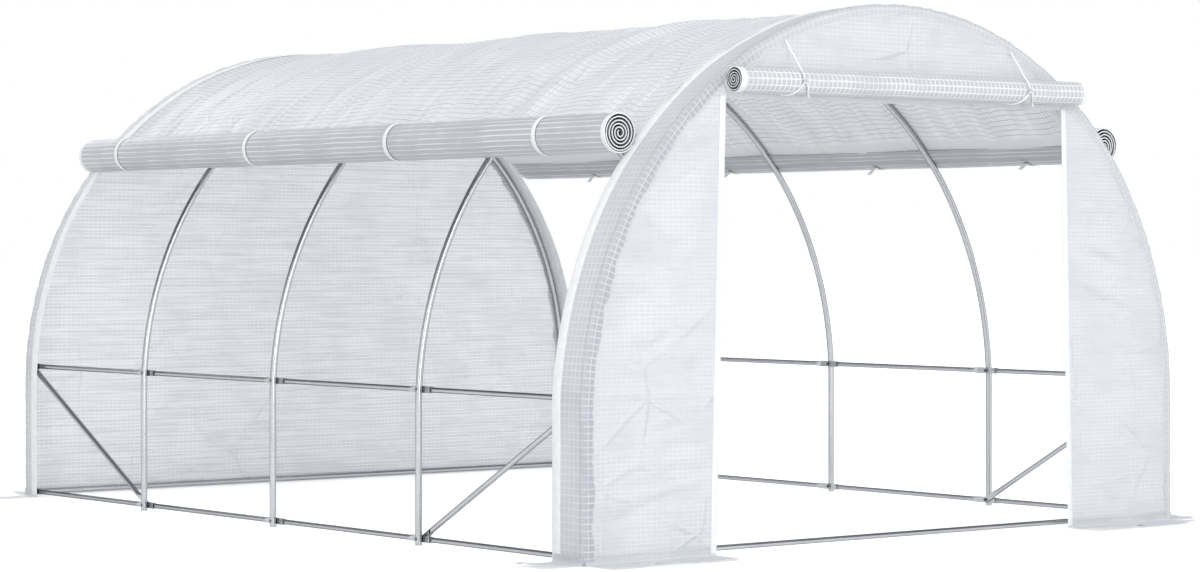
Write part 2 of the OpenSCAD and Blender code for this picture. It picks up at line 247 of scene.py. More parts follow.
class Nodes:
    """Short way to write a node tree."""

    def __init__(self, tree):
        self.tree = tree
        tree.nodes.clear()

    def add(self, kind, inputs=None, **settings):
        made = self.tree.nodes.new(kind)
        for key, value in settings.items():
            setattr(made, key, value)
        for key, value in (inputs or {}).items():
            if isinstance(value, bpy.types.NodeSocket):
                self.tree.links.new(value, made.inputs[key])
            else:
                made.inputs[key].default_value = value
        return made

    def math(self, operation, first, second):
        return self.add("ShaderNodeMath", {0: first, 1: second}, operation=operation).outputs[0]

    def vector(self, operation, first, second):
        return self.add("ShaderNodeVectorMath", {0: first, 1: second}, operation=operation).outputs[0]

    def split(self, vector):
        """The X, Y and Z of a vector."""
        return self.add("ShaderNodeSeparateXYZ", {0: vector}).outputs

    def flat_map(self):
        """The piece's map, in metres."""
        return self.add("ShaderNodeUVMap", uv_map="UVMap").outputs[0]

    def fit(self, value, low, high, to_low=0.0, to_high=1.0):
        """Value from one range to another, eased and clamped."""
        inputs = {"Value": value, "From Min": low, "From Max": high, "To Min": to_low, "To Max": to_high}
        return self.add("ShaderNodeMapRange", inputs, interpolation_type="SMOOTHSTEP").outputs[0]

    def mix(self, share, first, second):
        inputs = {"Factor": share, 6: first, 7: second}
        return self.add("ShaderNodeMix", inputs, data_type="RGBA").outputs[2]

    def noise(self, vector, scale, detail, roughness=0.5):
        inputs = {"Vector": vector, "Scale": scale, "Detail": detail, "Roughness": roughness}
        return self.add("ShaderNodeTexNoise", inputs).outputs[0]

    def bump(self, height, strength, distance, normal=None):
        inputs = {"Height": height, "Strength": strength, "Distance": distance}
        if normal:
            inputs["Normal"] = normal
        return self.add("ShaderNodeBump", inputs).outputs[0]

    def seen_directly(self):
        """1 for rays that show the background itself: seen, mirrored or let through."""
        path = self.add("ShaderNodeLightPath").outputs
        either = self.math("MAXIMUM", path["Is Camera Ray"], path["Is Glossy Ray"])
        return self.math("MAXIMUM", either, path["Is Transmission Ray"])

    def finish(self, shader, kind="ShaderNodeOutputMaterial"):
        """Sends a shader to the output."""
        self.add(kind, {"Surface": shader.outputs[0]})


def set_world():
    """White background, a grey ceiling for reflections and a softer sky that lights the object."""
    world = bpy.data.worlds.new("studio")
    world.use_nodes = True
    scene.world = world
    n = Nodes(world.node_tree)
    height = n.split(n.add("ShaderNodeTexCoord").outputs["Generated"])["Z"]
    sky = n.mix(n.fit(height, -0.2, 1.0), SKY_LOW, SKY_HIGH)
    mirrored = n.add("ShaderNodeLightPath").outputs["Is Glossy Ray"]
    ceiling = n.math("MULTIPLY", n.fit(height, 0.2, 0.5), mirrored)
    studio = n.mix(ceiling, WHITE, CEILING)
    colour = n.mix(n.seen_directly(), sky, studio)
    light = n.add("ShaderNodeBackground", {"Color": colour, "Strength": 1.0})
    n.finish(light, "ShaderNodeOutputWorld")


def new_material(name):
    """Empty material and its nodes."""
    material = bpy.data.materials.new(name)
    material.use_nodes = True
    return material, Nodes(material.node_tree)


def add_floor():
    """Pale floor that keeps a light shadow and meets the white background."""
    mesh = bpy.data.meshes.new("floor")
    corners = ((-1, -1), (1, -1), (1, 1), (-1, 1))
    points = [(x * FLOOR_REACH, y * FLOOR_REACH, FLOOR_Z) for x, y in corners]
    mesh.from_pydata(points, [], [(0, 1, 2, 3)])
    floor = add_object("floor", mesh)
    material, n = new_material("floor_white")
    matte = n.add("ShaderNodeBsdfDiffuse", {"Color": FLOOR_GREY})
    strength = n.math("MULTIPLY", n.seen_directly(), FLOOR_GLOW)
    glow = n.add("ShaderNodeEmission", {"Color": WHITE, "Strength": strength})
    n.finish(n.add("ShaderNodeAddShader", {0: matte.outputs[0], 1: glow.outputs[0]}))
    mesh.materials.append(material)


# Materials

def dimmed(colour, share):
    """Darker shade of a colour."""
    return tuple(share * c for c in colour[:3]) + (1,)


def thread_grid(n, flat, wander, pitch, weights, line):
    """1 on the threads of the weave, which wander a little; line is half a thread's width."""
    shift = n.vector("SUBTRACT", wander, (0.5,) * 3)
    shift = n.vector("MULTIPLY", shift, (0.007,) * 3)
    axes = n.split(n.vector("ADD", flat, shift))
    lines = []
    for axis, step, weight in zip("XY", pitch, weights):
        away = n.math("PINGPONG", axes[axis], step / 2)
        lines.append(n.math("MULTIPLY", n.fit(away, 0.25 * line, line, 1.0, 0.0), weight))
    return n.math("MAXIMUM", *lines)


def sharp_folds(n, flat, wander):
    """1 along the edges of cells about 0.3 m wide, in places."""
    bent = n.vector("ADD", flat, n.vector("MULTIPLY", wander, (0.03, 0.05, 0.0)))
    inputs = {"Vector": bent, "Scale": 3.2}
    cells = n.add("ShaderNodeTexVoronoi", inputs, feature="DISTANCE_TO_EDGE").outputs[0]
    where = n.fit(n.noise(flat, scale=2.6, detail=1.0), 0.42, 0.62)
    return n.math("MULTIPLY", n.fit(cells, 0.0, 0.05, 1.0, 0.0), where)


def cloth_material(name, film, thread, through, pitch, *, weights=(1.0, 1.0), streak=(4.0, 45.0),
                   streak_shade_depth=0.04, patchy=0.85, dense=0.7, line=0.0034, hems=None, hem_axis="Y",
                   over_hoops=False, face=None, creased=True):
    """Woven film with a grid of whiter threads; through is the share of light that it lets through.

    pitch and weights are the threads' spacing and strength both ways, streak the streaks in each metre
    both ways, whose depth also sets how much painted shade darkens their hollows; patchy how much of the
    grid is lost in places and dense how dark the threads are against the light. hems gives where plain
    hems end and start along hem_axis. over_hoops makes it denser on hoops.
    face gives where the return of a band starts, its film with painted shade at the left foot and its
    colour over the door.
    creased adds sharp folds.
    """
    material, n = new_material(name)
    flat = n.flat_map()
    plain = n.split(flat)
    wander = n.add("ShaderNodeTexNoise", {"Vector": flat, "Scale": 5.0, "Detail": 1.0}).outputs["Color"]
    threads = thread_grid(n, flat, wander, pitch, weights, line)
    patches = n.fit(n.noise(flat, scale=5.0, detail=4.0), 0.38, 0.58, 1.0 - patchy, 1.0)
    shown = n.math("MULTIPLY", threads, patches)
    drawn = n.vector("MULTIPLY", flat, (*streak, 1.0))
    streaks = n.fit(n.noise(drawn, scale=1.0, detail=3.0, roughness=0.6), 0.34, 0.66)
    # Painted shade: the return of a band on the end face gets a darker film at the left foot, fading to its
    # colour over the door
    if face:
        start, left, over = face
        sewn = n.mix(n.fit(plain["X"], 1.7, 2.3), left, over)
        film = n.mix(n.fit(plain["Y"], start, start + 2 * RETURN_FADE), film, sewn)
    # Painted shade: the film darkens where the streak noise is low, in the hollows of the streak bump below
    film_with_streak_shade = n.mix(streaks, n.mix(streak_shade_depth, film, BLACK), film)
    colour = n.mix(shown, film_with_streak_shade, thread)
    behind = n.mix(shown, film_with_streak_shade, dimmed(thread, 1 - dense))
    if hems:
        past_first = n.math("GREATER_THAN", plain[hem_axis], hems[0])
        inner = n.math("MULTIPLY", past_first, n.math("LESS_THAN", plain[hem_axis], hems[1]))
        colour = n.mix(inner, thread, colour)
        behind = n.mix(inner, dimmed(thread, 0.6), behind)
    fine = n.noise(flat, scale=420.0, detail=1.0)
    crumple = n.noise(flat, scale=14.0, detail=3.0, roughness=0.6)
    normal = n.bump(crumple, strength=0.36, distance=0.018)
    if creased:
        normal = n.bump(sharp_folds(n, flat, wander), strength=0.65, distance=0.007, normal=normal)
    normal = n.bump(streaks, strength=0.30, distance=0.04 * streak_shade_depth, normal=normal)
    normal = n.bump(threads, strength=0.40, distance=0.0010, normal=normal)
    normal = n.bump(fine, strength=0.12, distance=0.0006, normal=normal)
    rough = n.fit(n.math("ADD", n.math("MULTIPLY", threads, 0.6), fine), 0.2, 1.4, 0.36, 0.60)
    skin = n.add("ShaderNodeBsdfPrincipled", {
        "Base Color": colour, "Roughness": rough, "Specular IOR Level": 0.4, "Normal": normal,
    })
    glow = n.add("ShaderNodeBsdfTranslucent", {"Color": behind, "Normal": normal})
    if over_hoops:
        to_hoop = n.math("PINGPONG", n.math("SUBTRACT", plain["Y"], HOOP_Y[0]), BAY_L / 2)
        through = n.fit(to_hoop, 0.006, 0.024, 0.5 * through, through)
    n.finish(n.add("ShaderNodeMixShader", {0: through, 1: skin.outputs[0], 2: glow.outputs[0]}))
    return material


def tape_material(name, colour, rib):
    """White webbing, binding or cord with ribs across it."""
    material, n = new_material(name)
    flat = n.flat_map()
    axes = n.split(flat)
    ribs = n.fit(n.math("PINGPONG", axes["X"], rib / 2), 0.0, rib / 2)
    twill = n.math("PINGPONG", n.math("ADD", axes["Y"], axes["X"]), rib)
    weave = n.math("ADD", ribs, n.math("MULTIPLY", twill, 0.5 / rib))
    worn = n.fit(n.noise(flat, scale=30.0, detail=3.0), 0.3, 0.7)
    n.finish(n.add("ShaderNodeBsdfPrincipled", {
        "Base Color": n.mix(worn, dimmed(colour, 0.94), colour),
        "Roughness": n.fit(worn, 0.0, 1.0, 0.6, 0.75),
        "Specular IOR Level": 0.3,
        "Normal": n.bump(weave, strength=0.35, distance=0.0006),
    }))
    return material


def zinc_material(name, light, dark, shine):
    """Galvanised steel with faint spangle and drawn streaks; shine is its least roughness."""
    material, n = new_material(name)
    place = n.add("ShaderNodeTexCoord").outputs["Object"]
    spangle = n.add("ShaderNodeTexVoronoi", {"Vector": place, "Scale": 220.0}).outputs["Color"]
    grey = n.add("ShaderNodeSeparateColor", {0: spangle}).outputs[0]
    cloud = n.noise(place, scale=5.0, detail=3.0)
    streak = n.noise(place, scale=300.0, detail=2.0)
    tone = n.math("ADD", n.math("MULTIPLY", grey, 0.3), n.math("MULTIPLY", cloud, 0.7))
    uneven = n.math("ADD", streak, n.math("MULTIPLY", cloud, 0.6))
    n.finish(n.add("ShaderNodeBsdfPrincipled", {
        "Base Color": n.mix(n.fit(tone, 0.1, 0.9), dark, light),
        "Metallic": 1.0,
        "Specular Tint": BLACK,
        "Roughness": n.fit(uneven, 0.4, 1.2, shine, shine + 0.10),
        "Normal": n.bump(streak, strength=0.03, distance=0.0003),
    }))
    return material


FILM = (0.71, 0.73, 0.765, 1)
# Painted light: the roof is the same woven cloth as the end cloths, given a lighter film for the light on
# the top of the cover
ROOF_PAINTED_LIGHT_FILM = (0.90, 0.92, 0.95, 1)
ROOF_THREAD = (0.92, 0.935, 0.955, 1)
BAND_FILM = (0.66, 0.68, 0.72, 1)
# Painted shade on the return of the front band at its left foot
RETURN_PAINTED_SHADE_FILM = (0.54, 0.56, 0.61, 1)
# Painted shade: the rolled side curtains are the same woven cloth as the end cloths, given a darker film
# for the shade on the rolls
SIDE_ROLL_PAINTED_SHADE_FILM = (0.54, 0.56, 0.59, 1)
SIDE_ROLL_THREAD = (0.90, 0.91, 0.93, 1)
# Painted shade: the rolled door is the same woven cloth as the end cloths, given a darker film for the
# shade on the roll
DOOR_PAINTED_SHADE_FILM = (0.59, 0.61, 0.64, 1)
DOOR_THREAD = (0.92, 0.93, 0.94, 1)
THREAD = (0.98, 0.985, 0.99, 1)
PITCH = (0.023, 0.0155)
CLOTH = cloth_material("woven_cloth", FILM, THREAD, 0.30, PITCH, weights=(0.65, 1.0))
BACK_CLOTH = cloth_material(
    "woven_back", FILM, THREAD, 0.42, PITCH, weights=(0.45, 1.0), streak=(2.5, 70.0), streak_shade_depth=0.16,
    patchy=0.7, dense=0.35,
)
ROOF_CLOTH = cloth_material(
    "woven_roof", ROOF_PAINTED_LIGHT_FILM, ROOF_THREAD, 0.38, (0.028, 0.014), weights=(1.0, 0.6), streak=(1.6, 26.0),
    streak_shade_depth=0.11, patchy=0.3, dense=1.0, line=0.0036, hem_axis="X",
    hems=(ROOF_LOW_S + ROOF_HEM, OUTLINE_L - ROOF_LOW_S - ROOF_HEM), over_hoops=True,
)
BAND_LOOK = dict(
    film=BAND_FILM, thread=THREAD, through=0.28, pitch=(0.024, 0.024), weights=(0.85, 0.85), patchy=0.3,
    creased=False,
)
# The front band's return has painted shade at its left foot; the back band's return keeps the plain film
FRONT_RETURN_PAINTED_SHADE = (FRONT_BAND_W - RETURN_FADE, RETURN_PAINTED_SHADE_FILM, FILM)
BACK_FACE = (BACK_BAND_W - RETURN_FADE, FILM, FILM)
FRONT_BAND = cloth_material("woven_front_band", face=FRONT_RETURN_PAINTED_SHADE, **BAND_LOOK)
BACK_BAND = cloth_material("woven_back_band", face=BACK_FACE, **BAND_LOOK)
# Painted shade: dark cloth put on the inner turns of the rolls for the shade in the gaps between turns
PAINTED_ROLL_SHADE = tape_material("painted_roll_shade", (0.22, 0.225, 0.24, 1), 0.004)
TAPE = tape_material("binding_tape", (0.88, 0.89, 0.90, 1), 0.0016)
WEBBING = tape_material("strap_webbing", (0.90, 0.91, 0.92, 1), 0.0020)
CORD = tape_material("tie_cord", (0.91, 0.92, 0.92, 1), 0.0018)
ZINC = zinc_material("galvanised_tube", (0.53, 0.54, 0.56, 1), (0.43, 0.44, 0.46, 1), 0.18)
BOLT_ZINC = zinc_material("bolt_zinc", (0.30, 0.31, 0.33, 1), (0.20, 0.21, 0.22, 1), 0.30)


# Shapes

def random_waves(u, v, lengths, seed):
    """Smooth random surface from -1 to 1, with waves of about these lengths along u and v."""
    u, v = u / lengths[0], v / lengths[1]
    size = 61
    heights = np.random.default_rng(seed).uniform(-1, 1, (size, size))
    i, j = np.floor(u).astype(int), np.floor(v).astype(int)
    s, t = eased(u - i, 0, 1), eased(v - j, 0, 1)
    i, j, next_i, next_j = i % size, j % size, (i + 1) % size, (j + 1) % size
    near = heights[i, j] * (1 - s) + heights[next_i, j] * s
    far = heights[i, next_j] * (1 - s) + heights[next_i, next_j] * s
    return near * (1 - t) + far * t


def ripples(u, length, seed):
    """Random waves along u only."""
    return random_waves(u, 0 * u, (length, 1), seed)


def eased(x, low, high):
    """0 below low, 1 above high and smooth between them."""
    t = np.clip((x - low) / (high - low), 0, 1)
    return t * t * (3 - 2 * t)


def spaced(low, high, step):
    """Even places about a step apart, both ends included."""
    return np.linspace(low, high, max(2, round((high - low) / step) + 1))


def distances(points):
    """Distances along a line of points from its first one."""
    steps = np.linalg.norm(np.diff(points, axis=0), axis=1)
    return np.concatenate([[0], np.cumsum(steps)])


def unit(vectors):
    """Rows of vectors brought to length 1."""
    return vectors / np.linalg.norm(vectors, axis=1)[:, None]


def make_piece(name, points, faces, uv, material, slot, *nodes):
    """Mesh piece on the one body, with its map in metres and the nodes that it stands for."""
    mesh = bpy.data.meshes.new(name)
    mesh.from_pydata(np.asarray(points, float).tolist(), [], [list(face) for face in faces])
    layer = mesh.uv_layers.new(name="UVMap")
    corners = np.zeros(len(mesh.loops), int)
    mesh.loops.foreach_get("vertex_index", corners)
    layer.data.foreach_set("uv", np.asarray(uv, np.float32)[corners].ravel())
    mesh.polygons.foreach_set("use_smooth", np.ones(len(mesh.polygons), bool))
    mesh.materials.append(material)
    piece = add_object(name, mesh)
    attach(piece, "root")
    if nodes:
        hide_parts(*nodes)
    return piece


def grid_faces(rows, columns, close_columns=False):
    """Quads between the points of a grid."""
    index = np.arange(rows * columns).reshape(rows, columns)
    if close_columns:
        index = np.hstack([index, index[:, :1]])
    corners = [index[:-1, :-1], index[:-1, 1:], index[1:, 1:], index[1:, :-1]]
    return np.stack(corners, axis=-1).reshape(-1, 4)


def make_sheet(name, points, uv, material, node):
    """Sheet of cloth from a grid of points."""
    faces = grid_faces(*points.shape[:2])
    points, uv = points.reshape(-1, 3), uv.reshape(-1, 2)
    return make_piece(name, points, faces, uv, material, "woven_cloth", node)


def turn_outward(piece):
    """Makes the faces of a closed piece look outward."""
    work = bmesh.new()
    work.from_mesh(piece.data)
    bmesh.ops.recalc_face_normals(work, faces=work.faces)
    work.to_mesh(piece.data)
    work.free()


def ribbons(name, paths, width, thickness, material, slot, *nodes):
    """Flat tapes with rounded edges. A path has points, directions across and directions it faces."""
    lower = [(-0.5, -0.2), (-0.46, -0.5), (0.46, -0.5), (0.5, -0.2)]
    edge = lower + [(-a, -b) for a, b in lower]
    points, faces, uv = [], [], []
    start, count = 0, len(edge)
    for centre, across, facing in paths:
        rows = len(centre)
        last = start + (rows - 1) * count
        ring = np.stack([centre + a * width * across + b * thickness * facing for a, b in edge], axis=1)
        places = np.array([a * width for a, b in edge])
        flat = np.stack(np.broadcast_arrays(distances(centre)[:, None], places), axis=-1)
        points.append(ring.reshape(-1, 3))
        uv.append(flat.reshape(-1, 2))
        faces += (grid_faces(rows, count, True) + start).tolist()
        faces += [list(range(start, start + count))[::-1], list(range(last, last + count))]
        start += rows * count
    piece = make_piece(name, np.concatenate(points), faces, np.concatenate(uv), material, slot, *nodes)
    turn_outward(piece)


# The tunnel's outline

def outline(s):
    """Places x, z and outward directions at distances along the cover from the left foot."""
    turn = np.clip((s - SPRING_Z) / COVER_R, 0, math.pi)
    out_x, out_z = -np.cos(turn), np.sin(turn)
    foot = np.minimum(s, SPRING_Z) - np.maximum(s - SPRING_Z - ARCH_L, 0)
    return COVER_R * out_x, np.where(foot < SPRING_Z, foot, SPRING_Z + COVER_R * out_z), out_x, out_z


def half_width(z, r):
    """Half the width of the tunnel at a height, for an arch of radius r."""
    return np.sqrt(np.maximum(r * r - np.maximum(z - SPRING_Z, 0) ** 2, 0))


def sag(y, rise):
    """How far the cover dips between hoops; rise is 1 at the ridge and 0 at the spring of the arch."""
    bay = np.clip((y - HOOP_Y[0]) / BAY_L, 0, 3.9999)
    share = bay - np.floor(bay)
    depth = np.array([1.0, 0.85, 1.05, 0.9])[np.floor(bay).astype(int)]
    hollow = 0.6 * (4 * share * (1 - share)) ** 1.2 + 0.4 * np.sin(math.pi * share) ** 2
    return -SAG * depth * hollow * eased(rise, 0.35, 0.9)


# Cloth pieces

def creases(x, z, seed, count, depth, width, lengths, lean):
    """Small sharp folds at random places. lean is their slope and its spread, in degrees."""
    rng = np.random.default_rng(seed)
    height = np.zeros(x.shape)
    for _ in range(count):
        at_x, at_z = rng.uniform(x.min(), x.max()), rng.uniform(z.min(), z.max())
        turn = rad(rng.normal(*lean))
        half = rng.uniform(*lengths) / 2
        thick = width * rng.uniform(0.7, 1.6)
        along = (x - at_x) * math.cos(turn) + (z - at_z) * math.sin(turn)
        across = (z - at_z) * math.cos(turn) - (x - at_x) * math.sin(turn)
        across = across + rng.normal(0, 0.12) * along * along / half
        fade = np.clip(1 - (along / half) ** 2, 0, 1)
        height += depth * rng.uniform(-1, 1) * fade * np.exp(-((across / thick) ** 2))
    return height


def roof_folds(y, s):
    """Folds that run down from the ridge, a little fanned, with small creases among them."""
    slant = y + 0.18 * np.abs(s - RIDGE_S) * random_waves(y, s, (0.8, 2.5), 3)
    wide = np.abs(random_waves(slant, s, (0.12, 0.9), 5))
    small = np.abs(random_waves(slant, s, (0.05, 0.6), 6))
    where = eased(random_waves(y, s, (0.45, 0.7), 7), -0.7, 0.4)
    short = creases(y, s, 8, count=170, depth=0.010, width=0.014, lengths=(0.25, 0.9), lean=(86, 9))
    return short - (0.022 * wide + 0.015 * small) * where


def make_roof():
    """Cover between the bands, which sags in each bay, is folded and clears the ridge rail."""
    s = spaced(ROOF_LOW_S, OUTLINE_L - ROOF_LOW_S, STEP)
    y = spaced(-FACE_Y + FRONT_BAND_W - ROOF_LAP, FACE_Y - BACK_BAND_W + ROOF_LAP, STEP)
    x, z, out_x, out_z = outline(s)
    deep, wide = np.meshgrid(y, s, indexing="ij")
    rise = np.broadcast_to(out_z, deep.shape)
    to_hoop = np.min([np.abs(deep - h) for h in HOOP_Y], axis=0)
    free = eased(to_hoop, 0.012, 0.09)
    free = free * eased(wide - s[0], 0.0, 0.1) * eased(s[-1] - wide, 0.0, 0.1)
    free = free * eased(deep - y[0], 0.0, 0.06) * eased(y[-1] - deep, 0.0, 0.06)
    folds = np.minimum(roof_folds(deep, wide) * free, FOLD_RISE)
    moved = 0.75 * sag(deep, rise) + folds - SKIN
    rail_top = RIDGE_RAIL_TOP + RAIL_ROOM - SPRING_Z - COVER_R
    past_rail = np.maximum(np.abs(wide - RIDGE_S) - RAIL_HALF_W, 0)
    moved = np.maximum(moved, rail_top - 0.3 * past_rail)
    points = np.stack([x + moved * out_x, deep, z + moved * out_z], axis=-1)
    sheet = make_sheet("roof_cloth", points, np.stack([wide, deep], axis=-1), ROOF_CLOTH, "roof_cover")


def band_section(width):
    """Section of a band from its inner edge round the corner to its return, and lengths along it."""
    side = [(width - d, 0.0) for d in spaced(0, width - CORNER_R, STEP)]
    turns = np.radians([15, 30, 45, 60, 75, 90])
    bend = [(CORNER_R * (1 - math.sin(a)), CORNER_R * (1 - math.cos(a))) for a in turns]
    face = [(0.0, d) for d in spaced(CORNER_R, RETURN_W, RETURN_STEP)[1:]]
    section = np.array(side + bend + face)
    return section, distances(section)


def make_band(name, node, end, width, material, seed):
    """Band over an end hoop, with a puckered corner and a return on the face. end is -1 at the front."""
    section, far = band_section(width)
    s = spaced(BAND_FOOT, OUTLINE_L - BAND_FOOT, STEP)
    x, z, out_x, out_z = outline(s)
    along, across = np.meshgrid(s, far, indexing="ij")
    depth = np.broadcast_to(section[:, 0], along.shape)
    inward = np.broadcast_to(section[:, 1], along.shape)
    rise = np.broadcast_to(out_z[:, None], along.shape)
    corner = np.exp(-((across - width + CORNER_R) / PUCKER_REACH) ** 2)
    pucker = PUCKER * corner * (ripples(along, 0.026, seed) + 0.25)
    flutter = 0.004 * eased(depth, 0.06, width) * random_waves(along, across, (0.2, 0.3), seed + 1)
    dip = sag(end * (FACE_Y - depth), rise)
    moved = np.clip(pucker + flutter, -0.0018, 0.0014) + dip * eased(depth, 0.01, 0.1)
    loose = eased(across, width, width + 0.03)
    lift = 0.0022 * loose * random_waves(along, across, (0.045, 0.05), seed + 2)
    teeth = 0.10 * ripples(along, 0.019, seed + 3)
    teeth = teeth + 0.18 * ripples(along, 0.06, seed + 4)
    edge = 1 + eased(inward, 0.02, RETURN_W) * teeth
    offset = (moved - inward) * edge
    points = np.stack([
        x[:, None] + out_x[:, None] * offset,
        end * (FACE_Y - depth - SKIN + np.clip(lift, -0.0008, 0.0010)),
        z[:, None] + out_z[:, None] * offset,
    ], axis=-1)
    sheet = make_sheet(name, points, np.stack([along, across], axis=-1), material, node)
    return points


def make_binding(name, band_points):
    """White tape folded over the inner edge of a band."""
    edge, inner = band_points[:, 0], band_points[:, 2]
    across = unit(inner - edge)
    facing = unit(np.cross(np.gradient(edge, axis=0), across))
    path = (edge + across * (BINDING_W / 2 - BINDING_LAP), across, facing)
    ribbons(name, [path], BINDING_W, BINDING_T, TAPE, "woven_cloth")


def panel_waves(x, z, seed, depth, lean):
    """Soft hollows of hanging cloth, slack folds and a few sharp ones."""
    wide = random_waves(x, z, (0.42, 0.5), seed)
    drag = 0.4 - np.abs(random_waves(x + 0.4 * z, z - 0.5 * x, (0.24, 0.5), seed + 1))
    level = 0.4 - np.abs(random_waves(x, z, (0.45, 0.13), seed + 2))
    where = eased(random_waves(x, z, (0.5, 0.5), seed + 4), -0.5, 0.4)
    soft = depth * (0.7 * wide + (drag + 0.8 * level) * where)
    count = round(22 * float((x.max() - x.min()) * (z.max() - z.min())))
    return soft + creases(x, z, seed + 3, count, 0.6 * depth, 0.011, (0.2, 0.7), lean)


def make_panel(name, node, hoop, end, heights, edges, flat, free_at, material, seed, depth, lean):
    """End cloth between two edges that change with height.

    free_at is 0 where it is held and 1 where it hangs; depth and lean are those of its folds.
    """
    left_edge, right_edge = edges
    z = spaced(*heights, STEP)
    left, right = left_edge(z)[:, None], right_edge(z)[:, None]
    columns = max(2, round(float(np.max(right - left)) / STEP) + 1)
    x = left + (right - left) * np.linspace(0, 1, columns)
    high = np.broadcast_to(z[:, None], x.shape)
    arch_gap = half_width(high, COVER_R - RETURN_W) - np.abs(x)
    free = eased(arch_gap, 0.0, 0.12) * free_at(x, high)
    waves = np.minimum(panel_waves(x, high, seed, depth, lean) * free, PANEL_RISE)
    points = np.stack([x, end * (PANEL_Y + waves), high], axis=-1)
    sheet = make_sheet(name, points, np.stack([x, high], axis=-1), material, node)
    return points


def arch_edge(z):
    """Half the width of an end cloth at a height."""
    return half_width(z, PANEL_R)


def door_edge(z):
    """Half the width of the doorway at a height."""
    return DOOR_FOOT_X + (DOOR_HEAD_X - DOOR_FOOT_X) * np.minimum(z / DOOR_HEAD_Z, 1)


def free_above_foot(x, z):
    """0 at the foot of an end cloth and 1 well above it."""
    return eased(z, 0.0, 0.2)


def free_beside_door(x, z):
    """As free_above_foot, and nearly 0 along the tape of the doorway."""
    return free_above_foot(x, z) * (0.06 + 0.94 * eased(np.abs(x) - door_edge(z), 0.0, 0.16))


def make_end_cloths():
    """Cloth beside and over the doorway and the closed back. Returns the doorway's two edges."""
    over_l = 2 * float(arch_edge(np.array([DOOR_HEAD_Z]))[0])
    whole = (lambda z: -arch_edge(z), arch_edge)
    beside_door = dict(
        end=-1, heights=(PANEL_FOOT_Z, DOOR_HEAD_Z), flat=(PANEL_R - DOOR_HEAD_X, DOOR_HEAD_Z),
        free_at=free_beside_door, material=CLOTH,
    )
    left = make_panel(
        "front_cloth_left", "front_panel_left", "hoop_1_legs", seed=21, depth=0.022, lean=(8, 22),
        edges=(lambda z: -arch_edge(z), lambda z: -door_edge(z)), **beside_door,
    )
    right = make_panel(
        "front_cloth_right", "front_panel_right", "hoop_1_legs", seed=31, depth=0.019, lean=(-25, 25),
        edges=(door_edge, arch_edge), **beside_door,
    )
    make_panel(
        "front_cloth_over_door", "front_lunette", "hoop_1_crown", end=-1, edges=whole,
        heights=(DOOR_HEAD_Z - LUNETTE_LAP, PANEL_TOP_Z), free_at=lambda x, z: 1.0,
        flat=(over_l, PANEL_TOP_Z - DOOR_HEAD_Z + LUNETTE_LAP), material=CLOTH, seed=41, depth=0.007,
        lean=(0, 25),
    )
    make_panel(
        "back_cloth", "back_panel", "hoop_5_crown", end=1, heights=(PANEL_FOOT_Z, PANEL_TOP_Z),
        edges=whole, flat=(2 * PANEL_R, PANEL_TOP_Z), free_at=free_above_foot, material=BACK_CLOTH,
        seed=51, depth=0.026, lean=(-4, 18),
    )
    return left[:, -1], right[:, 0]


def make_zip(name, edge, side):
    """White zip tape sewn along the edge of the doorway."""
    rows = len(edge)
    across = np.tile((side, 0.0, 0.0), (rows, 1))
    facing = np.tile((0.0, -1.0, 0.0), (rows, 1))
    path = (edge + across * (ZIP_W / 2 - ZIP_LAP) + facing * ZIP_OUT, across, facing)
    ribbons(name, [path], ZIP_W, ZIP_T, TAPE, "white_webbing")


def make_flap(name, start, along, out, length, width, seed):
    """Cloth sewn to the foot of an end cloth or band, turned out on the ground."""
    climb = [(SKIN, z) for z in (0.034, 0.026, 0.018)]
    turns = np.radians([10, 30, 50, 70, 90])
    bend_out = SKIN + FLAP_BEND_R * (1 - np.cos(turns))
    bend_up = FLAP_Z + FLAP_BEND_R * (1 - np.sin(turns))
    lie = [(d, FLAP_Z) for d in spaced(SKIN + FLAP_BEND_R, width, STEP)[1:]]
    section = np.array(climb + list(zip(bend_out, bend_up)) + lie)
    far = distances(section)
    place, across = np.meshgrid(spaced(0, length, STEP), far, indexing="ij")
    reach = np.broadcast_to(section[:, 0], place.shape)
    height = np.broadcast_to(section[:, 1], place.shape)
    loose = eased(reach, 0.02, width)
    wave = 0.55 * random_waves(place, reach, (0.11, 0.25), seed)
    wave = wave + 0.45 * random_waves(place, reach, (0.045, 0.12), seed + 1)
    lift = FLAP_LIFT * loose * np.clip(wave + 0.15, 0, 1)
    ragged = 1 - 0.07 * loose * (1 + ripples(place, 0.15, seed + 2))
    flat_out = reach * ragged
    points = np.stack([
        start[0] + place * along[0] + flat_out * out[0],
        start[1] + place * along[1] + flat_out * out[1],
        height + lift,
    ], axis=-1)
    sheet = make_sheet(name, points, np.stack([place, across], axis=-1), CLOTH, "ground_flaps")


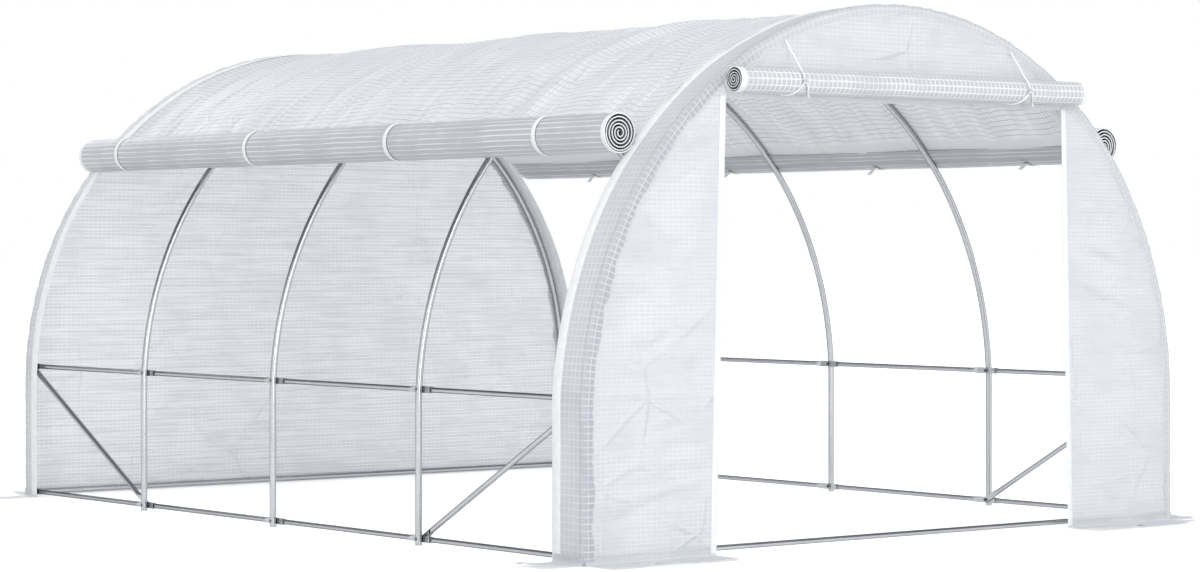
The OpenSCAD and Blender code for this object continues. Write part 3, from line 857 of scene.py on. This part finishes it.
def make_flaps():
    """All the flaps that lie on the ground."""
    width = FLAP_REACH_X - COVER_R - FLAP_GAP
    left_x = -COVER_R + FLAP_GAP
    front_l = COVER_R - DOOR_FOOT_X - FLAP_GAP
    front_y, front_band_l = -FACE_Y + FLAP_GAP, FRONT_BAND_W - 2 * FLAP_GAP
    back_y, back_band_l = FACE_Y - BACK_BAND_W + FLAP_GAP, BACK_BAND_W - 2 * FLAP_GAP
    for word, side in SIDES.items():
        corner = (DOOR_FOOT_X if side > 0 else left_x, -PANEL_Y)
        foot_x = side * COVER_R
        out = (side, 0)
        side_front, side_back = (foot_x, front_y), (foot_x, back_y)
        make_flap(f"flap_front_{word}", corner, (1, 0), (0, -1), front_l, width, 60 + side)
        make_flap(f"flap_side_front_{word}", side_front, (0, 1), out, front_band_l, width, 70 + side)
        make_flap(f"flap_side_back_{word}", side_back, (0, 1), out, back_band_l, width, 80 + side)
    make_flap("flap_back", (left_x, PANEL_Y), (1, 0), (0, 1), 2 * COVER_R - 2 * FLAP_GAP, width, 90)


# Rolled cloth

def roll_layers(radius, core, turns, thickness, end_angle, way):
    """Angles, middle radii and lengths along rolled cloth from its core to where it leaves the roll."""
    back = np.linspace(360 * turns, 0, ROLL_STEPS)
    inner_turns = np.maximum(back - OUTER_TURN, 0) / (360 * turns - OUTER_TURN)
    r = radius - thickness / 2 - inner_turns * (radius - core)
    angle = np.radians(end_angle + way * back)
    far = np.concatenate([[0], np.cumsum(np.abs(np.diff(angle)) * (r[1:] + r[:-1]) / 2)])
    return angle, r, far


def make_roll(name, node, layers, thickness, places, squeeze, to_space, telescope, material, seed):
    """Closed mesh of rolled cloth; to_space makes points of places along it and offsets from its axis."""
    angle, r, far = layers
    steps, rows = len(angle), len(places)
    low, high = places[0], places[-1]
    near_end = np.minimum(places - low, high - places)
    at_end = np.exp(-near_end[:, None] / 0.02)
    plump = thickness * (0.75 + 0.25 * eased(near_end, -0.0005, 0.003))[:, None]
    outer = (far / far[-1])[None, :]
    spread = np.broadcast_to(places[:, None], (rows, steps))
    turn = np.broadcast_to(angle[None, :], (rows, steps))
    uneven = 0.0012 * random_waves(turn, spread, (0.9, 0.25), seed) * outer
    flare = 0.0015 * at_end * (1 + ripples(turn, 1.3, seed + 2)) * outer
    r_here = r[None, :] - squeeze[:, None] * outer + uneven + flare
    out_by = telescope * ripples(turn, 2.2, seed + 1) * at_end
    shift = np.where(spread < (low + high) / 2, -out_by, out_by)
    skins = []
    for side in (0.5, -0.5):
        skin_r = r_here + side * plump
        skins.append(to_space(spread + shift, skin_r * np.cos(turn), skin_r * np.sin(turn)))
    loop = np.concatenate([skins[0], skins[1][:, ::-1]], axis=1)
    flat = np.stack([np.broadcast_to(far[None, :], (rows, steps)), spread], axis=-1)
    uv = np.concatenate([flat, flat[:, ::-1]], axis=1)
    faces = grid_faces(rows, 2 * steps, True).tolist()
    for row in (0, rows - 1):
        base = row * 2 * steps
        for i in range(steps - 1):
            faces.append([base + i, base + i + 1, base + 2 * steps - 2 - i, base + 2 * steps - 1 - i])
    piece = make_piece(name, loop.reshape(-1, 3), faces, uv.reshape(-1, 2), material, "woven_cloth", node)
    paint_shade_on_inner_turns(piece, r, far, rows)
    turn_outward(piece)
    return piece


def paint_shade_on_inner_turns(piece, r, far, rows):
    """Painted shade: darker cloth on the turns inside a roll, for the shade in the gaps between turns."""
    last_turn, last_end = far[-1] - 2 * math.pi * r[-1], far[-1] - ROLL_MOUTH
    painted_shade_faces = np.tile(np.concatenate([far < last_turn, far[::-1] < last_end]), rows - 1)
    ends = np.zeros(len(piece.data.polygons) - len(painted_shade_faces), bool)
    piece.data.materials.append(PAINTED_ROLL_SHADE)
    inside = np.concatenate([painted_shade_faces, ends]).astype(np.int32)
    piece.data.polygons.foreach_set("material_index", inside)


def roll_places(low, high, marks):
    """Places along a roll, closer together at its ends and where it is tied."""
    ends = np.array([0.0, 0.0015, 0.004, 0.009, 0.018, 0.032])
    half = np.array([0.010, 0.014, 0.018, 0.026, 0.04])
    tied = np.concatenate([-half, [0.0], half])
    places = [spaced(low + ROLL_MOUTH, high - ROLL_MOUTH, ROLL_STEP), low + ends, high - ends]
    places += [m + tied for m in marks]
    return np.unique(np.round(np.concatenate(places), 4))


def side_roll_centre():
    """Place x, z of the right-hand roll's axis."""
    turn = rad(SIDE_ROLL_ANGLE)
    reach = COVER_R + SIDE_ROLL_R
    return reach * math.cos(turn), SPRING_Z + reach * math.sin(turn)


def tied_in(places, marks, depth, half):
    """How far a roll is pulled in by the bands round it: a groove with a soft hollow about it."""
    away = np.min([np.abs(places - m) for m in marks], axis=0)
    groove = depth * (1 - eased(away, 0.8 * half, 1.25 * half))
    return groove + 0.6 * depth * np.exp(-((away / (3 * half)) ** 2))


def curtain_end(layers):
    """Adds the last of a curtain, from the roll up along the cover to its seam."""
    angle, r, far = layers
    climb = np.radians(SIDE_ROLL_ANGLE + np.linspace(CURTAIN_START, CURTAIN_TURN, 6))
    under = COVER_R - CURTAIN_UNDER
    centre_x, centre_z = side_roll_centre()
    across = under * np.cos(climb) - centre_x
    up = SPRING_Z + under * np.sin(climb) - centre_z
    turned = np.mod(np.arctan2(up, across), 2 * math.pi)
    rise = far[-1] + (climb - climb[0]) * under + CURTAIN_UNDER
    return np.append(angle, turned), np.append(r, np.hypot(across, up)), np.append(far, rise)


def make_side_rolls():
    """Side curtains rolled up outward at the eaves, pulled in a little by their straps."""
    centre_x, centre_z = side_roll_centre()
    seam_angle = SIDE_ROLL_ANGLE + 180
    layers = roll_layers(SIDE_ROLL_R, SIDE_ROLL_CORE, SIDE_ROLL_TURNS, SIDE_ROLL_T, seam_angle, way=1)
    layers = curtain_end(layers)
    for word, side in SIDES.items():
        low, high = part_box(f"side_roll_{word}")
        places = roll_places(low.y, high.y, STRAP_Y[word])
        squeeze = tied_in(places, STRAP_Y[word], STRAP_PULL, STRAP_W / 2)

        def to_space(y, across, up, side=side):
            return np.stack([side * (centre_x + across), y, centre_z + up], axis=-1)

        cloth = cloth_material(
            f"woven_roll_{word}", SIDE_ROLL_PAINTED_SHADE_FILM, SIDE_ROLL_THREAD, 0.10, (0.0195, 0.012),
            weights=(1.0, 0.25), streak=(40.0, 3.0), streak_shade_depth=0.08, patchy=0.5,
            hems=(low.y + SIDE_HEM, high.y - SIDE_HEM), creased=False,
        )
        roll = make_roll(
            f"side_curtain_{word}", f"side_roll_{word}", layers, SIDE_ROLL_T, places, squeeze, to_space,
            telescope=0.004, material=cloth, seed=100 + side,
        )


def make_door_roll(ties):
    """Door rolled up outward in front of the cloth over the doorway."""
    layers = roll_layers(DOOR_ROLL_R, DOOR_ROLL_CORE, DOOR_ROLL_TURNS, DOOR_ROLL_T, end_angle=0, way=-1)
    places = roll_places(DOOR_ROLL_LOW.x, DOOR_ROLL_HIGH.x, ties)
    squeeze = tied_in(places, ties, TIE_PULL, TIE_HALF_W)

    def to_space(x, across, up):
        return np.stack([x, DOOR_ROLL_Y + across, DOOR_ROLL_Z + up], axis=-1)

    cloth = cloth_material(
        "woven_door", DOOR_PAINTED_SHADE_FILM, DOOR_THREAD, 0.10, (0.0235, 0.0225), streak=(30.0, 5.0), patchy=0.4,
        hems=(DOOR_ROLL_LOW.x + DOOR_HEMS[0], DOOR_ROLL_HIGH.x - DOOR_HEMS[1]), creased=False,
    )
    roll = make_roll(
        "rolled_door", "door_roll", layers, DOOR_ROLL_T, places, squeeze, to_space,
        telescope=0.0015, material=cloth, seed=120,
    )


# Straps and ties

def strap_line(tail_l):
    """Line x, z of a strap round the right-hand roll, with a loose end of a given length or none."""
    centre_x, centre_z = side_roll_centre()
    strap_r = SIDE_ROLL_R + STRAP_GAP
    hold = np.radians(np.linspace(STRAP_START, STRAP_END, 70))
    line = np.stack([centre_x + strap_r * np.cos(hold), centre_z + strap_r * np.sin(hold)], axis=1)
    end_z = line[-1, 1]
    if tail_l:
        drop = np.linspace(STRAP_TAIL_IN, tail_l, 8)
        curl = STRAP_CURL * (1 - np.cos(drop / tail_l * math.pi / 2))
        tail = np.stack([line[-1, 0] - STRAP_TAIL_IN - curl, end_z - drop], axis=1)
        line = np.concatenate([line, tail])
    for _ in range(2):
        line[1:-1] = (line[:-2] + 2 * line[1:-1] + line[2:]) / 4
    return line, end_z


def make_straps():
    """Webbing straps from the seam above each roll over its top, with loose ends on the right."""
    paths = []
    for word, side in SIDES.items():
        for i, y in enumerate(STRAP_Y[word]):
            line, end_z = strap_line(STRAP_TAILS[i % 2] if side > 0 else 0)
            below = np.clip((end_z - line[:, 1]) / STRAP_SLIP_DROP, 0, 1) if side > 0 else 0 * line[:, 1]
            centre = np.stack([side * line[:, 0], y + STRAP_SLIP * below, line[:, 1]], axis=1)
            across = np.tile((0.0, 1.0, 0.0), (len(line), 1))
            facing = unit(np.cross(np.gradient(centre, axis=0), across))
            paths.append((centre, across, facing))
    ribbons("curtain_straps", paths, STRAP_W, STRAP_T, WEBBING, "white_webbing", "roll_straps")


def make_cord(name, points, radius):
    """Round cord through points."""
    data = bpy.data.curves.new(name, "CURVE")
    data.dimensions = "3D"
    data.bevel_depth = radius
    data.bevel_resolution = 4
    data.resolution_u = 6
    data.use_fill_caps = True
    spline = data.splines.new("NURBS")
    spline.points.add(len(points) - 1)
    for knot, point in zip(spline.points, points):
        knot.co = (*point, 1)
    spline.use_endpoint_u = True
    spline.order_u = 3
    data.materials.append(CORD)
    cord = add_object(name, data)
    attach(cord, "root")
    return cord


def round_door(x, reach, angle):
    """Point at a distance from the axis of the rolled door, at an angle from straight behind it."""
    return Vector((x, DOOR_ROLL_Y + reach * math.cos(angle), DOOR_ROLL_Z + reach * math.sin(angle)))


def tie_points(x, top_z, hold):
    """Points of a tie from the seam over the doorway to the roll and round it."""
    anchor = Vector((x - TIE_SLANT, -FACE_Y - TIE_R, top_z - TIE_R))
    away = Vector((anchor.y - DOOR_ROLL_Y, anchor.z - DOOR_ROLL_Z))
    touch = math.degrees(math.atan2(away.y, away.x) + math.acos(hold / away.length))
    loop = []
    for degrees in np.linspace(touch, TIE_END, 22):
        drift = TIE_DRIFT * max(0.0, (degrees - 180) / 90)
        loop.append(round_door(x - drift, hold, rad(degrees)))
    return [anchor.lerp(loop[0], i / 8) for i in range(8)] + loop


def knot_points(x, hold):
    """Points of a knot in front of the roll."""
    turns = np.linspace(0, 2 * math.pi * 2.6, 40)
    across = x + 0.0075 * np.sin(2 * turns)
    deep = DOOR_ROLL_Y - hold - 0.0035 - 0.0025 * np.cos(3 * turns)
    return np.stack([across, deep, DOOR_ROLL_Z + 0.0085 * np.cos(turns)], axis=1)


def tail_points(x, hold):
    """Points of a loose tail from the knot down the front of the roll."""
    turns = np.radians(np.linspace(TAIL_START, TAIL_END, 10))
    places = np.linspace(x + 0.006, x + 0.040, 10)
    tail = [round_door(place, hold + 0.002, turn) for place, turn in zip(places, turns)]
    return tail + [tail[-1] + Vector((0.006, -0.002, -0.010))]


def make_ties():
    """Cord ties round the rolled door, each with a knot and a tail. Returns their places along it."""
    hold = DOOR_ROLL_R + TIE_R + TIE_GAP
    middles = []
    for word in ("left", "right"):
        low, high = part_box(f"door_tie_{word}")
        x = (low.x + high.x) / 2
        middles.append(x)
        tie = make_cord(f"door_cord_{word}", tie_points(x, high.z, hold), TIE_R)
        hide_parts(f"door_tie_{word}")
        make_cord(f"door_knot_{word}", knot_points(x, hold), TIE_R)
        tail = tail_points(x, hold)
        loose = make_cord(f"door_cord_tail_{word}", tail, 0.9 * TIE_R)
        length = sum((b - a).length for a, b in zip(tail, tail[1:]))
        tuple(tail[0])
    return middles


# Bolts and tubes

def lathe(profile, sides):
    """Points and faces of a small turned piece along +X from radii at distances."""
    turns = 2 * math.pi * np.arange(sides) / sides
    points = [(far, r * math.cos(a), r * math.sin(a)) for far, r in profile for a in turns]
    faces = grid_faces(len(profile), sides, True).tolist()
    last = len(points) - sides
    faces += [list(range(sides))[::-1], list(range(last, last + sides))]
    return np.array(points), faces


def make_bolts():
    """Domed bolt heads outside the hoops and nuts on washers inside, where rails are bolted on."""
    dome = [(-0.002, HEAD_R), (0.0004, HEAD_R), (0.0016, 0.0058), (0.0026, 0.0036), (0.003, 0.0012)]
    head = lathe(dome, sides=16)
    washer = lathe([(0.0, WASHER_R), (-WASHER_T, WASHER_R)], sides=20)
    nut = lathe([(-WASHER_T, NUT_R), (-WASHER_T - NUT_H, NUT_R)], sides=6)
    shank = lathe([(0.006, BOLT_R), (-0.0105, BOLT_R), (-0.0115, 0.0022)], sides=12)
    waist_angle = math.degrees(math.asin((WAIST_RAIL_Z - SPRING_Z) / ARCH_R))
    points, faces = [], []

    def put(shape, radius, angle, y, centre_z):
        own, own_faces = shape
        a = rad(angle)
        for side in ((1,) if angle == RIDGE_ANGLE else (-1, 1)):
            first = sum(len(p) for p in points)
            out = np.array([side * math.cos(a), 0, math.sin(a)])
            over = np.array([-side * math.sin(a), 0, math.cos(a)])
            middle = np.array([0, y, centre_z]) + radius * out
            turned = own[:, :1] * out + own[:, 1:2] * np.array([0, 1, 0]) + own[:, 2:] * over
            points.append(middle + turned)
            faces.extend([[i + first for i in f] for f in own_faces])

    for k, y in enumerate(HOOP_Y):
        at_end = k in (0, len(HOOP_Y) - 1)
        next_to_end = k in (1, len(HOOP_Y) - 2)
        joints = (
            (0, BASE_RAIL_Z, 3 if next_to_end else 2),
            (waist_angle, SPRING_Z, 3 if at_end else 2),
            (RIDGE_ANGLE, SPRING_Z, 1 if at_end else 2),
        )
        for angle, centre_z, laps in joints:
            seat = ARCH_R - HOOP_R - laps * TONGUE_T
            for shape in (washer, nut, shank):
                put(shape, seat, angle, y, centre_z)
            if not at_end and angle != RIDGE_ANGLE:
                put(head, ARCH_R + HOOP_R, angle, y, centre_z)
    mesh = bpy.data.meshes.new("frame_bolts")
    mesh.from_pydata(np.concatenate(points).tolist(), [], faces)
    mesh.materials.append(BOLT_ZINC)
    piece = add_object("frame_bolts", mesh)
    turn_outward(piece)
    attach(piece, "root")


def dress_tubes():
    """Galvanised finish on every tube of the frame."""
    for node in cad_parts.values():
        if not node.hide_render:
            node.data.materials.clear()
            node.data.materials.append(ZINC)


place_camera()
set_world()
add_floor()
for name, values in LAMPS.items():
    add_lamp(name, **values)

make_roof()
make_binding("front_binding", make_band(
    "front_band_cloth", "front_band", end=-1, width=FRONT_BAND_W, material=FRONT_BAND,
    seed=11,
))
make_binding("back_binding", make_band(
    "back_band_cloth", "back_band", end=1, width=BACK_BAND_W, material=BACK_BAND, seed=15,
))
left_edge, right_edge = make_end_cloths()
make_zip("door_tape_left", left_edge, -1.0)
make_zip("door_tape_right", right_edge, 1.0)
make_flaps()
make_side_rolls()
make_straps()
make_door_roll(make_ties())
make_bolts()
dress_tubes()

scene.view_settings.view_transform = "Standard"
